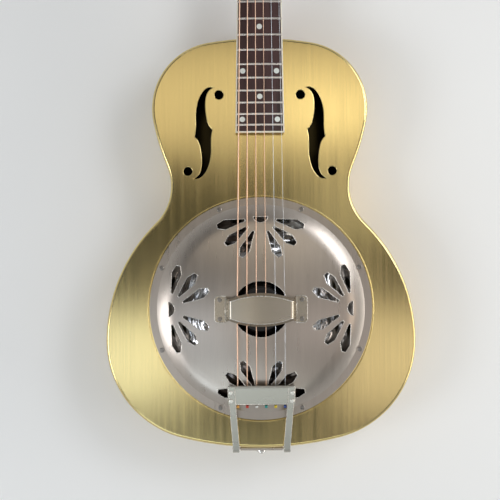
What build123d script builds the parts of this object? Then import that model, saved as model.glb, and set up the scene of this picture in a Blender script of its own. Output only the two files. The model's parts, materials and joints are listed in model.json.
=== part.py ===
from build123d import *
import math
import os

# A single-cone resonator guitar with a metal body and a 12-fret neck.  Millimetres.
# The guitar lies on its flat back: +Z out of the top, +Y towards the headstock,
# +X towards the treble strings.  The origin is on the back, under the middle of the cone.

# ---- Driving dimensions ----

# Body shell
BODY_DEPTH = 82.0
SHEET = 1.2
TAIL_Y = -164.1
OUTLINE_ARCS = [(383.5, 14.04), (118.1, 76.1), (195.0, 45.53), (-61.3, -68.21), (273.8, 11.41), (79.1, 91.28)]
TOP_SKIRT = 9.0
EDGE_ROUND = 3.4

# Cover plate and the cone under it
RECESS_R = 132.6
RECESS_DEPTH = 1.0
COVER_R = 131.0
COVER_SHEET = 1.0
DOME_R = 122.5
DOME_ROLL_R, DOME_ROLL_H = 100.0, 7.4
DOME_TOP_H = 13.0
DOME_CREST_R, DOME_CREST_H = 20.0, 13.35
DOME_BULGE = 1.1
COVER_HOLE_R = 33.0
COVER_SCREW_R = 126.3
COVER_SCREWS = 8
WELL_R = 121.6
WELL_LEDGE_Z = 44.0
WELL_LEDGE_IN_R = 110.0
WELL_VENTS = 12
CONE_R = 120.6
CONE_SHEET = 0.6
CONE_TOP_H = 1.5
BISCUIT_R = 25.4
BISCUIT_H = 11.5

# Petal openings of the cover plate, measured from the hub of each flower
FLOWER_R = 108.3
PETAL_ANGLES = [-77.1, -51.4, -25.7, 25.7, 51.4, 77.1]
PETAL_IN, PETAL_WIDE, PETAL_TIP = 18.8, 43.0, 52.4
PETAL_IN_HALF, PETAL_WIDE_HALF, PETAL_TIP_HALF = 1.4, 6.1, 2.6
PETAL_ROUND = 0.6
HUB_HALF_WIDTH, HUB_DEPTH = 8.8, 7.2

# F-holes
FHOLE_X, FHOLE_Y = 66.5, 207.0
FHOLE_EYE_X, FHOLE_EYE_Y, FHOLE_EYE_R = 18.5, 45.0, 5.2
PRESSED_ROUND = 0.8

# Strings, from the bass side: diameter in millimetres
SCALE = 635.0
COMPENSATION = 2.8
STRING_D = [1.42, 1.17, 0.91, 0.66, 0.43, 0.33]
BRIDGE_SPACING = 11.04
NUT_SPACING = 7.7
SADDLE_H = 27.8
STRING_REST_H = 13.0
BALL_Y = -113.4
BALL_R = 2.0

# Neck
NECK_ANGLE = 1.9
BOARD_H_AT_12 = 12.0
BOARD_T = 6.0
BOARD_RADIUS = 406.4
NUT_W, BOARD_W_AT_12 = 44.45, 53.6
BOARD_TAIL = 114.5
BINDING = 1.5
FRETS = 19
FRET_W, FRET_H, TANG_W, TANG_DEPTH = 2.4, 1.1, 0.6, 1.7
DOT_R, DOT_T = 3.15, 1.4
DOTS = [(5, 19.0), (7, 0), (9, 19.0), (12, 0), (15, 19.7), (17, 0), (19, 20.4)]
NUT_T = 5.0
NECK_DEPTH_AT_NUT, NECK_DEPTH_AT_HEEL = 14.6, 16.4
HEEL_DEPTH = 70.0
HEEL_L = 64.0
HEEL_STEPS = 18
TRUSS_Z = -12.4
TRUSS_START = 5.0
TRUSS_HALF = 3.0
TRUSS_THREAD_R = 2.2
SCREW_HOLE_R = 1.12
STICK_W, STICK_Z0, STICK_Z1 = 38.0, 19.5, 40.0

# Headstock and tuners
HEAD_ANGLE = 14.0
HEAD_L = 166.0
HEAD_T = 14.0
HEAD_EDGE = 37.0
VENEER_T = 1.5
POSTS = [(23.0, 40.0), (21.5, 80.0), (20.0, 120.0)]
POST_R = 3.0
POST_TOP = 21.0
WIND_H = 9.0
FIT = 0.05
GEAR_TEETH = 18
GEAR_R = 6.0
WORM_R = 2.6
WORM_TURNS = 4
GEAR_Z = -20.5
GEAR_T = 4.0
PLATE_T = 1.2
EAR_IN, EAR_OUT, EAR_T = 7.2, 7.2, 1.8
BUTTON_GAP = 5.5

# Hand rest over the saddle
REST_TOP_H = 33.0
REST_CROWN = 1.2
REST_SHEET = 1.5
REST_GAP = 0.05
REST_HALF_TOP, REST_HALF_BASE, REST_FOOT_END = 37.2, 43.8, 54.0
REST_MID_HALF, REST_END_HALF, REST_FOOT_HALF = 20.2, 12.4, 15.5
REST_LIP_H, REST_LIP_IN = 6.0, 3.4
REST_SCREW_X, REST_SCREW_Y = 48.0, 11.3

# Tailpiece
PLATE_FRONT_Y, PLATE_BACK_Y = -89.0, -110.6
TAIL_SHEET = 1.5
TAIL_SLOPE = 13.0
TAIL_PLATE_H = 16.6
LEG_TOP_X, LEG_END_X, LEG_W = 35.3, 30.0, 7.2
PIN_Y, PIN_Z, PIN_R = -167.0, 70.0, 1.2
KNUCKLE_R = 2.5
BRACKET_HALF = 25.0
BRACKET_SCREW_X = (-14.0, 14.0)
BRACKET_SCREW_Z = 57.0

# ---- Places worked out from them ----

TOP = BODY_DEPTH
Y12 = SCALE / 2 + COMPENSATION
NUT_LY = SCALE / 2
A = math.radians(NECK_ANGLE)
NECK = Plane(origin=(0, Y12, TOP + BOARD_H_AT_12), x_dir=(1, 0, 0), z_dir=(0, math.sin(A), math.cos(A)))
H = math.radians(NECK_ANGLE + HEAD_ANGLE)
HEAD_ORIGIN = NECK.from_local_coords(Vector(0, NUT_LY + NUT_T, -BOARD_T + 1.0))
HEAD = Plane(origin=HEAD_ORIGIN, x_dir=(1, 0, 0), z_dir=(0, math.sin(H), math.cos(H)))
PITCH = 2 * math.pi * GEAR_R / GEAR_TEETH
CENTRES = GEAR_R + WORM_R
WORM_PLACE = Plane(origin=(0, -CENTRES, GEAR_Z), x_dir=(0, 1, 0), z_dir=(1, 0, 0))
TAIL_TILT = math.radians(TAIL_SLOPE)
TAIL_ORIGIN = (0, PLATE_BACK_Y, TOP + TAIL_PLATE_H)
TAIL_FRAME = Plane(origin=TAIL_ORIGIN, x_dir=(1, 0, 0), z_dir=(0, -math.sin(TAIL_TILT), math.cos(TAIL_TILT)))


# ---- Small tools ----

def box(x0, x1, y0, y1, z0, z1):
    return Pos((x0 + x1) / 2, (y0 + y1) / 2, (z0 + z1) / 2) * Box(x1 - x0, y1 - y0, z1 - z0)


def disc(x, y, z0, z1, radius):
    return Pos(x, y, (z0 + z1) / 2) * Cylinder(radius, z1 - z0)


def disc_y(x, z, y0, y1, radius):
    return Pos(x, (y0 + y1) / 2, z) * Rot(90, 0, 0) * Cylinder(radius, y1 - y0)


def rod(start, end, radius):
    start, end = Vector(*start), Vector(*end)
    along = end - start
    face = Plane(origin=start, z_dir=along) * Circle(radius)
    return extrude(face, along.length, dir=along.normalized())


def prism(points, amount, plane=Plane.XY):
    return extrude(plane * make_face(Polyline(*points, close=True)), amount)


def solid_of_rings(points):
    """A turned solid from its half section: points are (radius, height)."""
    section = make_face(Polyline(*[(r, 0, z) for r, z in points], close=True))
    return revolve(section, Axis.Z)


def pan_head_screw(radius, length, head_r, head_h):
    """Pan-head screw: the head sits above z = 0 and its cross recess points up."""
    head = Cylinder(head_r, head_h, align=(Align.CENTER, Align.CENTER, Align.MIN))
    head = fillet(head.edges().sort_by(Axis.Z)[-1], head_h * 0.6)
    shank = Cylinder(radius, length, align=(Align.CENTER, Align.CENTER, Align.MAX))
    slot = Pos(0, 0, head_h) * Box(head_r * 1.1, head_r * 0.28, head_h * 0.8)
    return head + shank - slot - Rot(0, 0, 90) * slot


def mirrored(part):
    return mirror(part, about=Plane.YZ)


# ---- Body ----

def outline_points(inset):
    """Walk the right half of the outline from the tail, arc by arc: each is (start, middle, end)."""
    x, y, heading = 0.0, TAIL_Y + inset, 0.0
    arcs = []

    def step(radius, turn):
        cx = x - radius * math.sin(heading)
        cy = y + radius * math.cos(heading)
        points = []
        for part in (0, 0.5, 1):
            angle = heading + turn * part
            points.append((cx + radius * math.sin(angle), cy - radius * math.cos(angle)))
        return points

    for radius, degrees in OUTLINE_ARCS:
        turn = math.radians(degrees)
        arc = step(radius - inset, turn)
        arcs.append(arc)
        x, y = arc[2]
        heading += turn
    arcs.append(step(x / math.sin(heading), math.pi - heading))
    return arcs


def body_face(inset):
    right = [ThreePointArc(*arc) for arc in outline_points(inset)]
    left = [ThreePointArc(*[(-x, y) for x, y in arc]) for arc in outline_points(inset)]
    return make_face(Wire(right + left))


def body_block(inset, z0, z1):
    return extrude(Pos(0, 0, z0) * body_face(inset), z1 - z0)


def fhole_half():
    """The open side of an f-hole from its upper tip to its left notch, about the f-hole's middle."""
    return [(11.5, 53.5), (5.5, 53.3), (-1.5, 47.0), (-6.3, 36.5), (-8.6, 22.0), (-8.6, 10.0), (-10.3, -4.0)]


def fhole_sole():
    """The other side of the upper arm, from the tip to the right notch."""
    return [(11.5, 53.5), (5.5, 48.8), (2.2, 38.0), (2.8, 22.0), (6.3, 9.0), (10.3, 4.0)]


def fhole_wire():
    outer = Spline(*fhole_half())
    inner = Spline(*fhole_sole())
    return Wire([outer, inner, outer.rotate(Axis.Z, 180), inner.rotate(Axis.Z, 180)])


def fhole_faces():
    """Left f-hole: the body of the f and its two round eyes."""
    shape = make_face(fhole_wire())
    eye_up = Pos(FHOLE_EYE_X, FHOLE_EYE_Y) * Circle(FHOLE_EYE_R)
    eye_low = Pos(-FHOLE_EYE_X, -FHOLE_EYE_Y) * Circle(FHOLE_EYE_R)
    return [Pos(-FHOLE_X, FHOLE_Y) * face for face in (shape, eye_up, eye_low)]


def cover_screw_places():
    places = []
    for i in range(COVER_SCREWS):
        angle = math.radians(22.5 + 45 * i)
        places.append((COVER_SCREW_R * math.cos(angle), COVER_SCREW_R * math.sin(angle)))
    return places


def is_opening_edge(edge):
    """True for an edge of the recess or of an f-hole, and not for the flat top's own border."""
    low, high = edge.bounding_box().min, edge.bounding_box().max
    in_recess = high.X - low.X > RECESS_R and high.Y < RECESS_R + 1
    in_fhole = abs(edge.center().Y - FHOLE_Y) < 70 and 30 < abs(edge.center().X) < 100 and high.X - low.X < 40
    return in_recess or in_fhole


def make_body_top():
    """Pressed sheet top with a rounded rim, a short skirt, f-holes and the cover plate's recess."""
    outer = body_block(0, TOP - TOP_SKIRT, TOP)
    outer = fillet(outer.faces().sort_by(Axis.Z)[-1].edges(), EDGE_ROUND)
    inner = body_block(SHEET, TOP - TOP_SKIRT, TOP - SHEET)
    inner = fillet(inner.faces().sort_by(Axis.Z)[-1].edges(), EDGE_ROUND - SHEET)
    top = outer - inner
    floor_z = TOP - RECESS_DEPTH
    top = top + disc(0, 0, floor_z - SHEET, TOP - SHEET, RECESS_R + SHEET)
    top = top - disc(0, 0, floor_z, TOP + 1, RECESS_R)
    top = top - disc(0, 0, floor_z - SHEET - 1, TOP, WELL_R)
    for face in fhole_faces():
        hole = extrude(Pos(0, 0, TOP - 6) * face, 8)
        top = top - hole - mirrored(hole)
    pressed = [edge for edge in top.edges() if abs(edge.center().Z - TOP) < 0.001 and is_opening_edge(edge)]
    top = fillet(pressed, PRESSED_ROUND)
    for x, y in cover_screw_places():
        top = top - disc(x, y, TOP - 5, TOP + 1, 1.5)
    return top


def make_body_sides():
    wall = body_block(0, SHEET, TOP - TOP_SKIRT) - body_block(SHEET, 0, TOP)
    wall = wall - box(-STICK_W / 2, STICK_W / 2, 300, 330, STICK_Z0, STICK_Z1)
    wall = wall - disc_y(0, (STICK_Z0 + STICK_Z1) / 2, TAIL_Y - 2, TAIL_Y + 8, 2.5)
    for x in BRACKET_SCREW_X:
        wall = wall - disc_y(x, BRACKET_SCREW_Z, TAIL_Y - 2, TAIL_Y + 8, 1.5)
    return wall


def make_body_back():
    return body_block(0, 0, SHEET)


def make_soundwell():
    """Spun cup that hangs under the top and carries the cone on its ledge."""
    high = TOP - RECESS_DEPTH - SHEET
    low = WELL_LEDGE_Z - 1.0
    wall = 1.0
    well = solid_of_rings([
        (WELL_LEDGE_IN_R, low), (WELL_R + wall, low), (WELL_R + wall, high - wall), (130.0, high - wall),
        (130.0, high), (WELL_R, high), (WELL_R, WELL_LEDGE_Z), (WELL_LEDGE_IN_R, WELL_LEDGE_Z),
    ])
    middle = (WELL_LEDGE_Z + high) / 2
    for i in range(WELL_VENTS):
        vent = Pos(WELL_R, 0, middle) * Rot(0, 90, 0) * Cylinder(10.0, 8)
        well = well - Rot(0, 0, 360 / WELL_VENTS * (i + 0.5)) * vent
    for x, y in cover_screw_places():
        well = well - disc(x, y, high - 5, high + 1, 1.25)
    return well


def bulged_arc(start, end, bulge):
    """Arc in the XZ plane from start to end, both (radius, height), rising bulge above its chord."""
    across, down = end[0] - start[0], end[1] - start[1]
    length = math.hypot(across, down)
    radius = (start[0] + end[0]) / 2 - bulge * down / length
    height = (start[1] + end[1]) / 2 + bulge * across / length
    return ThreePointArc((start[0], 0, start[1]), (radius, 0, height), (end[0], 0, end[1]))


def dome_solid(drop):
    """Everything under the cover plate's dome, lowered by drop: a low crown that rolls down at the edge."""
    top = TOP - drop
    z0 = top - RECESS_DEPTH - 2
    crest = (DOME_CREST_R, top + DOME_CREST_H)
    roll = (DOME_ROLL_R, top + DOME_ROLL_H)
    lines = [
        Line((0, 0, z0), (0, 0, crest[1])),
        Line((0, 0, crest[1]), (crest[0], 0, crest[1])),
        bulged_arc(crest, roll, DOME_BULGE),
        bulged_arc(roll, (DOME_R, top), DOME_BULGE),
        Line((DOME_R, 0, top), (DOME_R, 0, z0)),
        Line((DOME_R, 0, z0), (0, 0, z0)),
    ]
    return revolve(make_face(Wire(lines)), Axis.Z)


def petal_face(angle):
    """One pierced petal; the flower's hub is at the origin and inward is -Y."""
    half = [(PETAL_IN, PETAL_IN_HALF), (PETAL_WIDE, PETAL_WIDE_HALF), (PETAL_TIP, PETAL_TIP_HALF)]
    points = half + [(u, -v) for u, v in reversed(half)]
    face = make_face(Polyline(*points, close=True))
    face = fillet(face.vertices(), PETAL_ROUND)
    return Rot(0, 0, angle - 90) * face


def flower_faces():
    """Six petals and the half-round opening of the flower at the +Y side of the plate."""
    faces = [Pos(0, FLOWER_R) * petal_face(angle) for angle in PETAL_ANGLES]
    arc = ThreePointArc((-HUB_HALF_WIDTH, 0), (0, -HUB_DEPTH), (HUB_HALF_WIDTH, 0))
    half_round = make_face(Wire([arc, Line((HUB_HALF_WIDTH, 0), (-HUB_HALF_WIDTH, 0))]))
    faces.append(Pos(0, FLOWER_R) * half_round)
    return faces


def make_cover_plate():
    outer = dome_solid(0) + disc(0, 0, TOP - RECESS_DEPTH, TOP, COVER_R)
    plate = outer - dome_solid(COVER_SHEET) - disc(0, 0, TOP - 20, TOP + 40, COVER_HOLE_R)
    lip_top = TOP + DOME_TOP_H - COVER_SHEET * 0.6
    lip = disc(0, 0, lip_top - 2.4, lip_top, COVER_HOLE_R + 1.0) - disc(0, 0, 0, TOP + 40, COVER_HOLE_R)
    plate = plate + lip
    flower = [extrude(Pos(0, 0, TOP - 2) * face, 20) for face in flower_faces()]
    plate = plate - [Rot(0, 0, 90 * side) * cutter for side in range(4) for cutter in flower]
    for x, y in cover_screw_places():
        plate = plate - disc(x, y, TOP - 5, TOP + 1, 1.5)
    for x, y in rest_screw_places():
        plate = plate - disc(x, y, TOP, TOP + 20, 1.3)
    return plate


def make_cone():
    """Spun aluminium cone, apex up: flat rim, step, long conical wall and flat crown for the biscuit."""
    def skin(drop):
        z = TOP + CONE_TOP_H - drop
        return [
            (0, z), (BISCUIT_R + 1.5, z), (BISCUIT_R + 4.0, z - 2.5), (70.0, z - 15.5), (105.0, z - 29.5),
            (113.0, WELL_LEDGE_Z + CONE_SHEET + 5 - drop), (114.0, WELL_LEDGE_Z + CONE_SHEET - drop),
        ]
    upper = skin(0)
    lower = skin(CONE_SHEET)
    lower[-1] = (113.0, WELL_LEDGE_Z)
    rim = [(CONE_R, WELL_LEDGE_Z + CONE_SHEET), (CONE_R, WELL_LEDGE_Z)]
    cone = solid_of_rings(upper + rim + list(reversed(lower)))
    return cone - disc(0, 0, 0, 200, 1.6)


def make_biscuit():
    z0 = TOP + CONE_TOP_H
    block = disc(0, 0, z0, z0 + BISCUIT_H, BISCUIT_R)
    block = fillet(block.edges().filter_by(GeomType.CIRCLE).sort_by(Axis.Z)[-1], 2.0)
    slot = box(-40, 40, -1.6, 1.6, z0 + BISCUIT_H - 5.0, z0 + 40)
    return block - slot - disc(0, 0, z0 - 1, z0 + 5, 1.3)


def string_drop(x):
    """How far the arched board, nut and saddle fall away at x from the middle."""
    return BOARD_RADIUS - math.sqrt(BOARD_RADIUS ** 2 - x ** 2)


def make_saddle():
    base_z = TOP + CONE_TOP_H + BISCUIT_H - 5.0
    high = TOP + SADDLE_H + 1.2
    right = [(24.5, base_z), (31.0, high - 6), (31.0, high)]
    left = [(-x, z) for x, z in reversed(right)]
    blade = prism(right + left, 3.2, Plane(origin=(0, 1.6, 0), x_dir=(1, 0, 0), z_dir=(0, -1, 0)))
    arch = Pos(0, 0, high - BOARD_RADIUS) * Rot(90, 0, 0) * Cylinder(BOARD_RADIUS, 20)
    blade = blade & arch
    for cutter in string_cutters():
        blade = blade - cutter
    return blade


# ---- Hand rest ----

def rest_screw_places():
    return [(x, y) for x in (-REST_SCREW_X, REST_SCREW_X) for y in (-REST_SCREW_Y, REST_SCREW_Y)]


def rest_plan(inset):
    """Plan of the hand rest: a barrel-shaped crown, flaring to the two feet."""
    top, base = REST_HALF_TOP, REST_HALF_BASE
    end, foot = REST_END_HALF - inset, REST_FOOT_HALF
    lines = [
        ThreePointArc((-top, end), (0, REST_MID_HALF - inset), (top, end)),
        Line((top, end), (base, foot)), Line((base, foot), (70, foot)), Line((70, foot), (70, -foot)),
        Line((70, -foot), (base, -foot)), Line((base, -foot), (top, -end)),
        ThreePointArc((top, -end), (0, inset - REST_MID_HALF), (-top, -end)),
        Line((-top, -end), (-base, -foot)), Line((-base, -foot), (-70, -foot)),
        Line((-70, -foot), (-70, foot)), Line((-70, foot), (-base, foot)), Line((-base, foot), (-top, end)),
    ]
    return make_face(Wire(lines))


def rest_arch(inset, drop):
    """Side view of the arch, as a solid running through the whole width."""
    base_z, top_z = TOP + 5, TOP + REST_TOP_H - inset - drop
    top, base = REST_HALF_TOP - inset, REST_HALF_BASE - inset
    lines = [
        Line((-base, base_z), (-top, top_z)),
        ThreePointArc((-top, top_z), (0, top_z + REST_CROWN), (top, top_z)),
        Line((top, top_z), (base, base_z)), Line((base, base_z), (-base, base_z)),
    ]
    face = make_face(Wire(lines))
    corners = face.vertices().sort_by(Axis.Y)[-2:]
    face = fillet(corners, 5.0 - inset)
    plane = Plane(origin=(0, 30, 0), x_dir=(1, 0, 0), z_dir=(0, -1, 0))
    return extrude(plane * face, 60)


def rest_block(inset):
    """The plan as a block, with its upper sides leaning in to the crown."""
    lean_z = TOP + REST_TOP_H - REST_LIP_H
    high_z = TOP + REST_TOP_H + REST_CROWN
    lean = REST_LIP_IN * (high_z - lean_z) / REST_LIP_H
    low = extrude(Pos(0, 0, TOP) * rest_plan(inset), lean_z - TOP)
    wide, narrow = Pos(0, 0, lean_z) * rest_plan(inset), Pos(0, 0, high_z) * rest_plan(inset + lean)
    return low + loft([wide, narrow], ruled=True)


def make_hand_rest():
    plan, core = rest_block(0), rest_block(REST_SHEET)
    above = box(-80, 80, -40, 40, TOP + DOME_TOP_H - 2, TOP + 60)
    arch = (rest_arch(0, 0) - rest_arch(REST_SHEET, 0)) & plan
    lip = (rest_arch(0, 0) - rest_arch(0, REST_LIP_H)) & (plan - core)
    foot_z0, foot_z1 = TOP + DOME_TOP_H - 4, TOP + DOME_TOP_H + 1.2
    foot = box(REST_HALF_BASE - 3, REST_FOOT_END, -REST_FOOT_HALF, REST_FOOT_HALF, foot_z0, foot_z1)
    foot = fillet(foot.edges().filter_by(Axis.Z).sort_by(Axis.X)[-2:], 4.0)
    foot = foot - rest_arch(REST_SHEET, 0)
    rest = (arch & above) + (lip & above) + foot + mirrored(foot)
    rest = rest - dome_solid(-REST_GAP)
    for x, y in rest_screw_places():
        rest = rest - disc(x, y, TOP, TOP + 20, 1.6)
    return rest


# ---- Neck ----

def board_half(ly):
    """Half the fretboard's width, ly along the neck from fret 12 towards the nut."""
    return (BOARD_W_AT_12 + (NUT_W - BOARD_W_AT_12) * ly / NUT_LY) / 2


def board_prism(inset, y0, y1, z0, z1):
    w0, w1 = board_half(y0) - inset, board_half(y1) - inset
    return prism([(-w0, y0), (w0, y0), (w1, y1), (-w1, y1)], z1 - z0, Plane(origin=(0, 0, z0)))


def board_blank():
    blank = board_prism(0, -BOARD_TAIL, NUT_LY, -BOARD_T, 1)
    arch = Pos(0, 0, -BOARD_RADIUS) * Rot(90, 0, 0) * Cylinder(BOARD_RADIUS, 1200)
    return blank & arch


def board_core():
    return board_prism(BINDING, -BOARD_TAIL + BINDING, NUT_LY, -BOARD_T, 1)


def fret_place(number):
    """Distance of a fret from fret 12, towards the nut."""
    return NUT_LY - SCALE * (1 - 2 ** (-number / 12))


def arched_bar(points, half, ly):
    """A bar with the section points (along, up) that follows the arch of the board across it."""
    section = make_face(Polyline(*[(0, ly + along, up) for along, up in points], close=True))
    sweep_angle = math.degrees(2 * math.asin(half / BOARD_RADIUS))
    axis = Axis((0, 0, -BOARD_RADIUS), (0, 1, 0))
    return revolve(section, axis, revolution_arc=sweep_angle).rotate(axis, -sweep_angle / 2)


def fret_bar(number):
    ly = fret_place(number)
    w = FRET_W / 2
    crown = [(-w, 0), (-w, 0.35), (-w * 0.7, FRET_H * 0.8), (-w * 0.25, FRET_H), (w * 0.25, FRET_H)]
    crown = crown + [(w * 0.7, FRET_H * 0.8), (w, 0.35), (w, 0)]
    return arched_bar(crown, board_half(ly) - 0.35, ly)


def fret_tang(number):
    ly = fret_place(number)
    w = TANG_W / 2
    section = [(-w, -TANG_DEPTH), (w, -TANG_DEPTH), (w, 0), (-w, 0)]
    return arched_bar(section, board_half(ly) - BINDING - 0.4, ly)


def dot_places():
    places = []
    for number, out in DOTS:
        ly = (fret_place(number) + fret_place(number - 1)) / 2
        places += [(-out, ly), (out, ly)] if out else [(0, ly)]
    return places


def make_frets():
    return NECK * Compound(children=[fret_bar(n) + fret_tang(n) for n in range(1, FRETS + 1)])


def make_position_markers():
    blank = board_blank()
    dots = [disc(x, y, -string_drop(x) - DOT_T, 2, DOT_R) & blank for x, y in dot_places()]
    return NECK * Compound(children=dots)


def make_fretboard():
    board = board_blank() & board_core()
    for n in range(1, FRETS + 1):
        board = board - fret_tang(n)
    for x, y in dot_places():
        board = board - disc(x, y, -string_drop(x) - DOT_T, 2, DOT_R)
    return NECK * board


def make_fretboard_binding():
    return NECK * (board_blank() - board_core())


def make_nut():
    blank = box(-NUT_W / 2, NUT_W / 2, NUT_LY, NUT_LY + NUT_T, -BOARD_T, 2.4)
    arch = Pos(0, 0, 2.4 - BOARD_RADIUS) * Rot(90, 0, 0) * Cylinder(BOARD_RADIUS, 1200)
    nut = NECK * (blank & arch)
    for cutter in string_cutters():
        nut = nut - cutter
    return nut


def neck_section(ly, depth):
    half = board_half(ly)
    plane = Plane(origin=(0, ly, -BOARD_T), x_dir=(1, 0, 0), z_dir=(0, -1, 0))
    return plane * (Ellipse(half, depth) - Pos(0, depth) * Rectangle(4 * half, 2 * depth))


def neck_depth(ly):
    """Depth of the neck under the board: a slow taper, sweeping down into the heel at the body."""
    depth = NECK_DEPTH_AT_HEEL + (NECK_DEPTH_AT_NUT - NECK_DEPTH_AT_HEEL) * ly / NUT_LY
    if ly < HEEL_L:
        depth += (HEEL_DEPTH - NECK_DEPTH_AT_HEEL) * (1 - max(ly, 0) / HEEL_L) ** 3.2
    return depth


def neck_stations():
    heel = [HEEL_L * (i / HEEL_STEPS) ** 1.4 for i in range(HEEL_STEPS + 1)]
    return [-8] + heel + [NUT_LY + NUT_T]


def headstock_face():
    """Headstock plan in its own plane, y from the nut's back edge to the crown."""
    w0 = NUT_W / 2
    right = [
        Spline((w0, 0), (w0 + 4.5, 12), (33.0, 26), tangents=[(0.1, 1), (0.7, 1)]),
        Spline((33.0, 26), (37.0, 60), (35.5, 110), (36.5, 152), tangents=[(0.5, 1), (0.15, 1)]),
        Spline((36.5, 152), (22.0, HEAD_L - 4), (0, HEAD_L), tangents=[(-0.8, 1), (-1, 0)]),
    ]
    left = [mirror(line, about=Plane.YZ).edge() for line in right]
    base = Line((-w0, 0), (w0, 0))
    return make_face(Wire(right + left + [base]))


def post_places():
    """Tuners in string order, bass side first: (side, x, y) in the headstock's plane."""
    left = [(-1, -x, y) for x, y in POSTS]
    right = [(1, x, y) for x, y in reversed(POSTS)]
    return left + right


def make_neck():
    shaft = loft([neck_section(y, neck_depth(y)) for y in neck_stations()], ruled=True)
    tongue = board_prism(BINDING, -BOARD_TAIL + BINDING, 4, -BOARD_T - 16, -BOARD_T)
    neck = NECK * (shaft + tongue)
    neck = neck - body_block(0, -5, TOP)
    head = extrude(Pos(0, 0, -VENEER_T - HEAD_T) * headstock_face(), HEAD_T)
    root = NECK * box(-NUT_W / 2, NUT_W / 2, NUT_LY, NUT_LY + NUT_T, -BOARD_T - 12, -BOARD_T)
    head = HEAD * head - NECK * box(-60, 60, -20, NUT_LY + NUT_T - 0.5, -60, 60)
    neck = neck + head + (root & HEAD * box(-40, 40, -20, 20, -VENEER_T - HEAD_T, 20))
    neck = neck - NECK * truss_channel() - NECK * truss_pocket()
    back_z = -VENEER_T - HEAD_T
    for side, x, y in post_places():
        neck = neck - HEAD * disc(x, y, -9, 5, 4.0) - HEAD * disc(x, y, -40, 5, 3.5)
        for dx, dy in tuner_screw_places():
            neck = neck - HEAD * disc(x + dx, y + dy, back_z - 1, back_z + 9.0, SCREW_HOLE_R)
    for x, y in truss_cover_screws():
        neck = neck - HEAD * disc(x, y, -7.5, 2, SCREW_HOLE_R)
    return neck


def truss_channel():
    return box(-TRUSS_HALF, TRUSS_HALF, TRUSS_START, NUT_LY + NUT_T + 2, TRUSS_Z - TRUSS_HALF, -BOARD_T)


def truss_pocket():
    y0 = NUT_LY + NUT_T + 0.5
    return box(-5.0, 5.0, y0, y0 + 22, TRUSS_Z - 4.2, 8)


def make_truss_rod():
    """Square rod in its channel, with the threaded end that the adjusting nut turns on."""
    y1 = NUT_LY + NUT_T
    bar = box(-TRUSS_HALF, TRUSS_HALF, TRUSS_START, y1, TRUSS_Z - TRUSS_HALF, -BOARD_T)
    thread = Pos(0, y1 + 4.5, TRUSS_Z) * Rot(90, 0, 0) * Cylinder(TRUSS_THREAD_R, 9)
    return NECK * (bar + thread)


def make_truss_rod_nut():
    """Barrel nut on the rod's end, with a hexagon socket that faces the headstock."""
    y0 = NUT_LY + NUT_T + 2.5
    body = Pos(0, y0 + 5, TRUSS_Z) * Rot(90, 0, 0) * Cylinder(3.6, 10)
    bore = Pos(0, y0 + 3, TRUSS_Z) * Rot(90, 0, 0) * Cylinder(TRUSS_THREAD_R + FIT, 8)
    key = extrude(Plane(origin=(0, y0 + 6.5, TRUSS_Z), z_dir=(0, 1, 0)) * RegularPolygon(2.2, 6), 5)
    return NECK * (body - bore - key)


def make_headstock_veneer():
    sheet = extrude(Pos(0, 0, -VENEER_T) * headstock_face(), VENEER_T)
    sheet = HEAD * sheet - NECK * box(-60, 60, -20, NUT_LY + NUT_T, -60, 60) - NECK * truss_pocket()
    for side, x, y in post_places():
        sheet = sheet - HEAD * disc(x, y, -9, 5, 4.0)
    for x, y in truss_cover_screws():
        sheet = sheet - HEAD * disc(x, y, -9, 2, SCREW_HOLE_R)
    return sheet


def truss_cover_screws():
    return [(0, 37.5), (-7.0, 7.0), (7.0, 7.0)]


def make_truss_rod_cover():
    lines = [
        Line((-10.5, 3.5), (10.5, 3.5)), Line((10.5, 3.5), (10.5, 12)),
        Spline((10.5, 12), (8.0, 26), (0, 42), tangents=[(0, 1), (-1, 0.15)]),
        Spline((0, 42), (-8.0, 26), (-10.5, 12), tangents=[(-1, -0.15), (0, -1)]),
        Line((-10.5, 12), (-10.5, 3.5)),
    ]
    cover = extrude(make_face(Wire(lines)), 2.0)
    for x, y in truss_cover_screws():
        cover = cover - disc(x, y, -1, 5, 1.1)
    return HEAD * cover


def make_neck_stick():
    bar = box(-STICK_W / 2, STICK_W / 2, -180, 340, STICK_Z0, STICK_Z1)
    tenon = box(-STICK_W / 2, STICK_W / 2, 300, 340, STICK_Z0, STICK_Z1) & body_block(0, 0, TOP)
    stick = (bar & body_block(SHEET, 0, TOP)) + tenon
    return stick - disc_y(0, (STICK_Z0 + STICK_Z1) / 2, -200, TAIL_Y + 26, 2.2)


def make_stick_props():
    low = [box(-15, 15, y - 12, y + 12, SHEET, STICK_Z0) for y in (-95, 60, 215)]
    high = box(-15, 15, 226, 266, STICK_Z1, TOP - SHEET)
    return Compound(children=low + [high])


# ---- Tailpiece ----

def string_x(index, spacing):
    return (index - 2.5) * spacing


def make_tailpiece_frame():
    """Cross plate with a slotted rear lip, and two straps that hook over the tail to the hinge pin."""
    depth = (PLATE_FRONT_Y - PLATE_BACK_Y) / math.cos(TAIL_TILT)
    plate = box(-39.0, 39.0, 0, depth, -TAIL_SHEET, 0)
    roll = Pos(0, depth - 0.9, -0.9) * Rot(0, 90, 0) * Cylinder(1.5, 78.0)
    lip = box(-31.0, 31.0, 0, TAIL_SHEET, -5.0, -0.1)
    frame = TAIL_FRAME * (plate + roll + lip)
    frame = fillet(frame.edges().filter_by(Axis.X).sort_by(Axis.Z)[-1:], 0.4)
    for index, diameter in enumerate(STRING_D):
        x = string_x(index, BRIDGE_SPACING)
        half = diameter / 2 + 0.35
        y0, y1 = PLATE_BACK_Y - 1, PLATE_BACK_Y + 4
        frame = frame - box(x - half, x + half, y0, y1, TOP + 5, TOP + STRING_REST_H + 1.35)
    return frame + leg() + mirrored(leg())


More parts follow.
